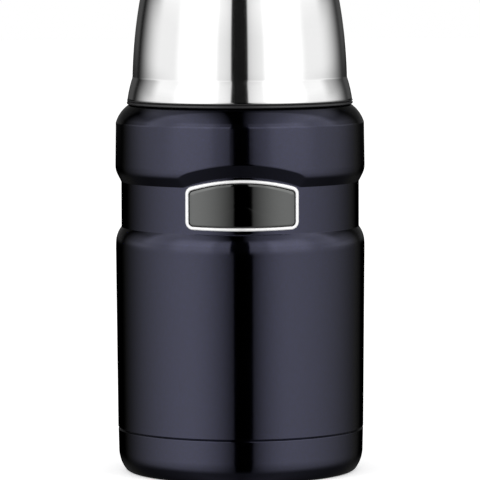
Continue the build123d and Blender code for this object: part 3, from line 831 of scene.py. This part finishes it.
# ---------------------------------------------------------------------------
# Stopper cap
# Moulded polypropylene grip, welded on the flange. It is dished on top and
# fluted round the side for the fingers.
# ---------------------------------------------------------------------------
cap_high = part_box("stopper_cap")[1]
CAP_TOP_Z = cap_high[2] / MM
CAP_R = cap_high[0] / MM
CAP_SKIRT = 3.0
CAP_SLOPE = 3.2
CAP_SKIRT_Z = FLANGE_TOP_Z + CAP_SKIRT
GRIP_R = CAP_R - CAP_SLOPE
GRIP_Z = CAP_SKIRT_Z + CAP_SLOPE
CAP_WALL = 1.8
CAP_DISH_R = 24.0
CAP_DISH = 0.6
FLUTES = 24
FLUTE_R = 3.6
FLUTE_DEPTH = 0.8
FLUTE_RUNOUT = 1.5
FOAM_WHITE = (0.85, 0.83, 0.74, 1)
FOAM_WORN = (0.78, 0.76, 0.67, 1)


def cap_shape(angles, radii, heights):
    """Cuts the round flutes into the grip's outside."""
    pitch = 2 * math.pi / FLUTES
    off = np.mod(angles + pitch / 2, pitch) - pitch / 2
    centre = GRIP_R + FLUTE_R - FLUTE_DEPTH
    aside = centre * np.sin(off)
    wall = centre * np.cos(off) - np.sqrt(np.maximum(FLUTE_R**2 - aside**2, 0))
    wall = np.where(np.abs(aside) < FLUTE_R, wall, GRIP_R)
    runout = smooth_step((heights - GRIP_Z) / FLUTE_RUNOUT)
    limit = GRIP_R - (GRIP_R - np.minimum(wall, GRIP_R)) * runout
    outside = (radii > GRIP_R - CAP_WALL + 0.2) * (heights > GRIP_Z)
    return np.where(outside, np.minimum(radii, limit), radii), heights


cap_section = rounded(
    [
        (0, CAP_TOP_Z - CAP_DISH),
        (CAP_DISH_R - 1, CAP_TOP_Z - CAP_DISH, 2.0),
        (CAP_DISH_R, CAP_TOP_Z, 0.8),
        (GRIP_R, CAP_TOP_Z, 2.5),
        (GRIP_R, GRIP_Z, 1.5),
        (CAP_R, CAP_SKIRT_Z, 1.0),
        (CAP_R, FLANGE_TOP_Z, 0.3),
        (CAP_R - CAP_WALL, FLANGE_TOP_Z, 0.2),
        (CAP_R - CAP_WALL, CAP_SKIRT_Z - 0.9, 0.5),
        (GRIP_R - CAP_WALL, GRIP_Z - 0.9, 0.5),
        (GRIP_R - CAP_WALL, CAP_TOP_Z - CAP_WALL - CAP_DISH, 1.0),
        (0, CAP_TOP_Z - CAP_WALL - CAP_DISH),
    ],
    closed=True,
)
cap = turned("stopper_grip", divided(cap_section, lambda z: 0.8), 480, cap_shape)
cap.data.materials.append(black_plastic)
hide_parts("stopper_cap")
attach(cap, "stopper")

white_foam = moulded_finish("white_foam", FOAM_WHITE, FOAM_WORN, 0.7, 0.9, 0.0012, 0.5)
dressed("stopper_foam", white_foam)

# ---------------------------------------------------------------------------
# Lid shell
# Drawn stainless bowl, polished with a fine turned grain. Its lower edge flares
# out over the liner's rim ring, and its top has a shallow round recess.
# ---------------------------------------------------------------------------
lid_low, lid_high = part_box("lid_shell")
LID_EDGE_Z = lid_low[2] / MM
LID_TOP_Z = lid_high[2] / MM
LID_R = lid_high[0] / MM
LID_LAND = 0.6
FLARE_CROWN = 0.2
FLARE_RUN = 2.1
FLARE_HEIGHT = 9.4
WAIST_R = LID_R - FLARE_RUN
WAIST_Z = LID_EDGE_Z + FLARE_HEIGHT
CROWN_DRAW = 3.35
CROWN_BOW = 0.65
CROWN_R = WAIST_R - CROWN_DRAW
CROWN_HEIGHT = 33.05
CROWN_Z = WAIST_Z + CROWN_HEIGHT
CROWN_CORNER_R = 7.2
RECESS_R = 27.0
RECESS = 0.8
RECESS_SLOPE = 1.6
LID_STEEL = (0.76, 0.76, 0.76, 1)
LID_LINES = (0.72, 0.72, 0.72, 1)
crown_wall = bowed((WAIST_R, WAIST_Z), (CROWN_R, CROWN_Z), CROWN_BOW, 14)
crown_length = math.hypot(CROWN_DRAW, CROWN_Z - WAIST_Z)
crown_lean = math.atan2(CROWN_DRAW, CROWN_Z - WAIST_Z) + 2 * math.atan(2 * CROWN_BOW / crown_length)
crown_corner = (CROWN_R - CROWN_CORNER_R * math.cos(crown_lean), LID_TOP_Z - CROWN_CORNER_R)
lid_outside = rounded(
    [
        (LID_R, LID_EDGE_Z),
        (LID_R, LID_EDGE_Z + LID_LAND, 0.3),
        *bowed((LID_R, LID_EDGE_Z + LID_LAND), (WAIST_R, WAIST_Z), FLARE_CROWN, 8)[1:-1],
        (*crown_wall[0], 3.0),
        *crown_wall[1:],
        *arc(crown_corner, CROWN_CORNER_R, math.degrees(crown_lean), 90, 16)[1:],
        (RECESS_R + RECESS_SLOPE, LID_TOP_Z, 0.6),
        (RECESS_R, LID_TOP_Z - RECESS, 1.2),
        (0, LID_TOP_Z - RECESS),
    ],
    steps=14,
)
lid_shell = turned("lid_bowl", sheet_section(lid_outside, SHEET), 360)
lid_steel = steel_finish("lid_steel", LID_STEEL, LID_LINES, 0.05, 0.10, 0.000006, 4000.0)
lid_shell.data.materials.append(lid_steel)
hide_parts("lid_shell")
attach(lid_shell, "lid")

# ---------------------------------------------------------------------------
# Lid liner and foam
# Moulded inner bowl with the thread that grips the neck. The ring round its
# rim carries the steel, and a foam disc fills the gap under the lid's top.
# ---------------------------------------------------------------------------
liner_low, liner_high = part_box("lid_liner")
RING_Z = liner_low[2] / MM
RING_HEIGHT = 1.75
RING_TOP_Z = RING_Z + RING_HEIGHT
RING_R = liner_high[0] / MM
RING_LIP = 0.2
RING_GROOVE = 0.65
RING_GROOVE_DEPTH = 0.7
LINER_TOP_Z = liner_high[2] / MM
LINER_WALL = 1.1
LINER_BORE_R = NECK_R + 1.4
THROAT_R = LINER_BORE_R - 1.0
LINER_BORE_DEPTH = 11.19
LINER_STEP_Z = SHOULDER_TOP_Z + LINER_BORE_DEPTH
LINER_STEP = 1.5
THROAT_TOP_Z = FLANGE_TOP_Z + 1.0
BOWL_GAP = 1.9
BOWL_R = CROWN_R - SHEET - BOWL_GAP - LINER_WALL
BOWL_Z = LINER_TOP_Z - LINER_WALL
LINER_RIDGE = 1.0
LINER_THREAD_Z = NECK_THREAD_Z - THREAD_LEAD / THREAD_STARTS / 2


def liner_shape(angles, radii, heights):
    """Raises the lid's thread inside the liner's bore."""
    on_bore = np.abs(radii - LINER_BORE_R) < 0.1
    return radii - LINER_RIDGE * ridge_mask(angles, heights, LINER_THREAD_Z) * on_bore, heights


def liner_spacing(z):
    """Rows are close together along the thread."""
    return 0.3 if z < LINER_STEP_Z else 4


liner_section = rounded(
    [
        (RING_R, RING_Z, 0.4),
        (RING_R, RING_TOP_Z - RING_LIP - RING_GROOVE, 0.1),
        (RING_R - RING_GROOVE_DEPTH, RING_TOP_Z - RING_LIP - RING_GROOVE / 3, 0.05),
        (RING_R, RING_TOP_Z - RING_LIP, 0.05),
        (RING_R, RING_TOP_Z, 0.1),
        (LINER_BORE_R + LINER_WALL, RING_TOP_Z, 0.2),
        (LINER_BORE_R + LINER_WALL, LINER_STEP_Z, 1.5),
        (THROAT_R + LINER_WALL, LINER_STEP_Z + LINER_STEP, 1.5),
        (THROAT_R + LINER_WALL, THROAT_TOP_Z, 1.5),
        (BOWL_R + LINER_WALL, LINER_TOP_Z, 6.5),
        (0, LINER_TOP_Z),
        (0, BOWL_Z),
        (BOWL_R, BOWL_Z, 6.0),
        (THROAT_R, THROAT_TOP_Z, 1.5),
        (THROAT_R, LINER_STEP_Z + LINER_STEP, 1.0),
        (LINER_BORE_R, LINER_STEP_Z, 1.0),
        (LINER_BORE_R, RING_Z, 0.4),
    ],
    closed=True,
)
liner = turned("liner_bowl", divided(liner_section, liner_spacing), 360, liner_shape)
liner.data.materials.append(black_plastic)
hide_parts("lid_liner")
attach(liner, "lid")
dressed("lid_foam", white_foam)

# ---------------------------------------------------------------------------
# Studio
# A pale floor, two soft lamps and a white room. Gloss shows another room, made
# in the world: two soft boxes, a dark card between them and a dim back wall.
# ---------------------------------------------------------------------------
CAMERA_AWAY = 1.762
CAMERA_TURN = math.radians(1.0)
CAMERA_ROLL = math.radians(-0.18)
CAMERA_HEIGHT = 0.2346
AIM = Vector((-0.0001, 0, 0.0972))
FOCAL_LENGTH = 314.4
FLOOR_SIZE = 12.0
FLOOR_GLOW = 0.4
ROOM_LIGHT = 0.8
ROOM_WHITE = 1.0
HOT_SPOT_GLOW = 0.65
CARD_GLOW = 0.008
BACK_WALL_GLOW = 0.08
LAMP_POWER = 10.0
LAMP_SIZE = (1.0, 1.4)
LAMP_AWAY = 1.6
LAMP_HEIGHT = 0.8
LAMP_TURN = math.radians(52)
LAMP_AIM = Vector((0, 0, 0.1))

camera = bpy.data.objects.new("camera", bpy.data.cameras.new("camera"))
bpy.context.scene.collection.objects.link(camera)
camera_side = Vector((-math.sin(CAMERA_TURN), -math.cos(CAMERA_TURN), 0))
camera.location = camera_side * CAMERA_AWAY + Vector((0, 0, CAMERA_HEIGHT))
facing = (AIM - camera.location).to_track_quat("-Z", "Y")
camera.rotation_euler = (facing @ Quaternion((0, 0, 1), CAMERA_ROLL)).to_euler()
camera.data.lens = FOCAL_LENGTH
camera.data.sensor_width = 36.0
camera.data.clip_end = 50.0
bpy.context.scene.camera = camera

floor_mesh = bpy.data.meshes.new("floor")
half = FLOOR_SIZE / 2
corners = [(-half, -half, 0), (half, -half, 0), (half, half, 0), (-half, half, 0)]
floor_mesh.from_pydata(corners, [], [(0, 1, 2, 3)])
floor = bpy.data.objects.new("floor", floor_mesh)
bpy.context.scene.collection.objects.link(floor)
floor.visible_glossy = False
floor_finish, tree, surface = new_finish("pale_floor")
surface.inputs["Base Color"].default_value = (0.9, 0.9, 0.9, 1)
surface.inputs["Roughness"].default_value = 0.9
surface.inputs["Specular IOR Level"].default_value = 0.0
seen = new_node(tree, "ShaderNodeLightPath").outputs["Is Camera Ray"]
glow = new_node(tree, "ShaderNodeEmission", Strength=maths(tree, "MULTIPLY", seen, FLOOR_GLOW))
lit = new_node(tree, "ShaderNodeAddShader", in0=surface.outputs[0], in1=glow.outputs[0])
tree.links.new(lit.outputs[0], tree.nodes["Material Output"].inputs["Surface"])
floor_mesh.materials.append(floor_finish)

world = bpy.data.worlds.new("studio")
world.use_nodes = True
bpy.context.scene.world = world
tree = world.node_tree
tree.nodes.clear()
direction = new_node(tree, "ShaderNodeTexCoord").outputs["Generated"]
way = new_node(tree, "ShaderNodeSeparateXYZ", Vector=direction)
turn = maths(tree, "ARCTAN2", way.outputs[0], maths(tree, "MULTIPLY", way.outputs[1], -1.0))
turn_share = maths(tree, "MULTIPLY_ADD", turn, 0.5 / math.pi, 0.5)
tilt = maths(tree, "ARCSINE", way.outputs[2])
tilt_share = maths(tree, "MULTIPLY_ADD", tilt, 1 / math.pi, 0.5)
side_share = maths(tree, "MULTIPLY_ADD", way.outputs[0], 0.5, 0.5)


def card_ramp(share, lowest, highest, stops):
    """Brightness by direction, from stops of (angle, brightness) between the lowest and the highest angle."""
    made = new_node(tree, "ShaderNodeValToRGB", Fac=share)
    elements = made.color_ramp.elements
    elements.remove(elements[1])
    elements[0].position = (stops[0][0] - lowest) / (highest - lowest)
    elements[0].color = (stops[0][1],) * 3 + (1,)
    for angle, bright in stops[1:]:
        elements.new((angle - lowest) / (highest - lowest)).color = (bright,) * 3 + (1,)
    return made.outputs[0]


def passing(value, low, high, first=0.0, last=1.0, bend="SMOOTHSTEP"):
    """The first level below the low value, the last one above the high value and a change between."""
    made = new_node(tree, "ShaderNodeMapRange", {"interpolation_type": bend}, Value=value)
    made.inputs["From Min"].default_value = low
    made.inputs["From Max"].default_value = high
    made.inputs["To Min"].default_value = first
    made.inputs["To Max"].default_value = last
    return made.outputs[0]


def between(share, first, second):
    """A value between two others."""
    mixed = new_node(tree, "ShaderNodeMix", {"data_type": "FLOAT"}, in0=share, in2=first, in3=second)
    return mixed.outputs[0]


def soft_box(turned, card, near, full, fade, far, glow):
    """A box's glow by degrees of turn. It grows from the near edge, behind the card, and fades far out."""
    growing = maths(tree, "SINE", passing(turned, near, full, last=math.pi / 2, bend="LINEAR"))
    lit_part = maths(tree, "MULTIPLY", growing, passing(turned, fade, far, first=1.0, last=0.0))
    shown = maths(tree, "MULTIPLY", lit_part, passing(turned, *card))
    return maths(tree, "MULTIPLY", shown, glow)


# A dark card stands on the camera's side, between two boxes. Its soft edges run between two angles.
right_turn = maths(tree, "DEGREES", turn)
left_turn = maths(tree, "MULTIPLY", right_turn, -1.0)
low_left = soft_box(left_turn, card=(6, 8), near=3, full=50, fade=50, far=146, glow=1.35)
low_right = soft_box(right_turn, card=(9, 12), near=6, full=46, fade=46, far=154, glow=1.23)
low_light = maths(tree, "ADD", low_left, low_right)

# Above the level each box is wider and more even, with a hot spot where its lamp stands.
high_left = soft_box(left_turn, card=(9.5, 11), near=-14, full=30, fade=95, far=142, glow=1.15)
high_right = soft_box(right_turn, card=(7, 8.5), near=-14, full=30, fade=95, far=147, glow=1.15)
high_boxes = maths(tree, "ADD", high_left, high_right)
off_front = maths(tree, "ABSOLUTE", right_turn)
hot_start = passing(off_front, 22, 32)
hot_end = passing(off_front, 58, 78, first=HOT_SPOT_GLOW, last=0.0)
back_wall = passing(off_front, 138, 150, first=CARD_GLOW, last=BACK_WALL_GLOW)
high_light = maths(tree, "ADD", maths(tree, "MULTIPLY_ADD", hot_start, hot_end, high_boxes), back_wall)
side_light = between(passing(tilt, math.radians(-4), math.radians(2)), low_light, high_light)

# Overhead the dark gap between the boxes is wider. Its stops are sines of the angle to the side.
gap_left = [(-1, 1.0), (-0.62, 1.3), (-0.54, 1.15), (-0.42, 0.95), (-0.35, 0.7), (-0.25, 0.34)]
gap_card = [(-0.12, 0.0), (0.02, 0.0)]
gap_right = [(0.06, 0.1), (0.25, 0.6), (0.38, 0.8), (0.5, 1.05), (0.58, 1.25), (0.7, 1.4), (1, 1.0)]
gap = card_ramp(side_share, -1, 1, gap_left + gap_card + gap_right)

# Brightness changes with height too. Its stops are degrees above the level, the same low down on all sides.
rising = [(-40, 0.45), (-30, 0.62), (-21, 0.82), (-12, 1.0)]
front_height = card_ramp(tilt_share, -90, 90, [*rising, (10, 1.0), (17, 1.12), (31, 1.05), (60, 1.0)])
back_height = card_ramp(tilt_share, -90, 90, [*rising, (7, 1.0), (11, 0.8), (20, 0.7), (30, 0.48)])
behind = passing(off_front, 96, 112)
level_light = maths(tree, "MULTIPLY", side_light, between(behind, front_height, back_height))
overhead = maths(tree, "MULTIPLY", gap, between(behind, 1.0, 0.5))
far_light = between(passing(tilt, math.radians(29), math.radians(46)), level_light, overhead)

# The floor is dark where it is close, most of all under the card and behind. Its edge is lower in front.
floor_edge = maths(tree, "MULTIPLY_ADD", way.outputs[1], -0.27, way.outputs[2])
floor_left = [(-113, 0.06), (-82, 0.11), (-52, 0.18), (-28, 0.15), (0, 0.08)]
floor_right = [(28, 0.15), (52, 0.18), (82, 0.12), (113, 0.07)]
floor_light = card_ramp(turn_share, -180, 180, floor_left + floor_right)
reflected = between(passing(floor_edge, -0.62, -0.38), floor_light, far_light)

# Camera and transmitted rays see the white room, glossy rays the boxes. Other rays get plain room light.
path = new_node(tree, "ShaderNodeLightPath")
direct = maths(tree, "MAXIMUM", path.outputs["Is Camera Ray"], path.outputs["Is Transmission Ray"])
glossy = path.outputs["Is Glossy Ray"]
level = between(direct, between(glossy, ROOM_LIGHT, reflected), ROOM_WHITE)
background = new_node(tree, "ShaderNodeBackground", Color=(1, 1, 1, 1), Strength=level)
outlet = tree.nodes.new("ShaderNodeOutputWorld")
tree.links.new(background.outputs[0], outlet.inputs["Surface"])

for side in (-1, 1):
    light = bpy.data.lights.new("soft_lamp", "AREA")
    light.shape = "RECTANGLE"
    light.size, light.size_y = LAMP_SIZE
    light.energy = LAMP_POWER
    lamp = bpy.data.objects.new("soft_lamp", light)
    lamp.location = (side * LAMP_AWAY * math.sin(LAMP_TURN), -LAMP_AWAY * math.cos(LAMP_TURN), LAMP_HEIGHT)
    lamp.rotation_euler = (LAMP_AIM - lamp.location).to_track_quat("-Z", "Y").to_euler()
    lamp.visible_glossy = False
    bpy.context.scene.collection.objects.link(lamp)

bpy.context.scene.view_settings.view_transform = "Standard"
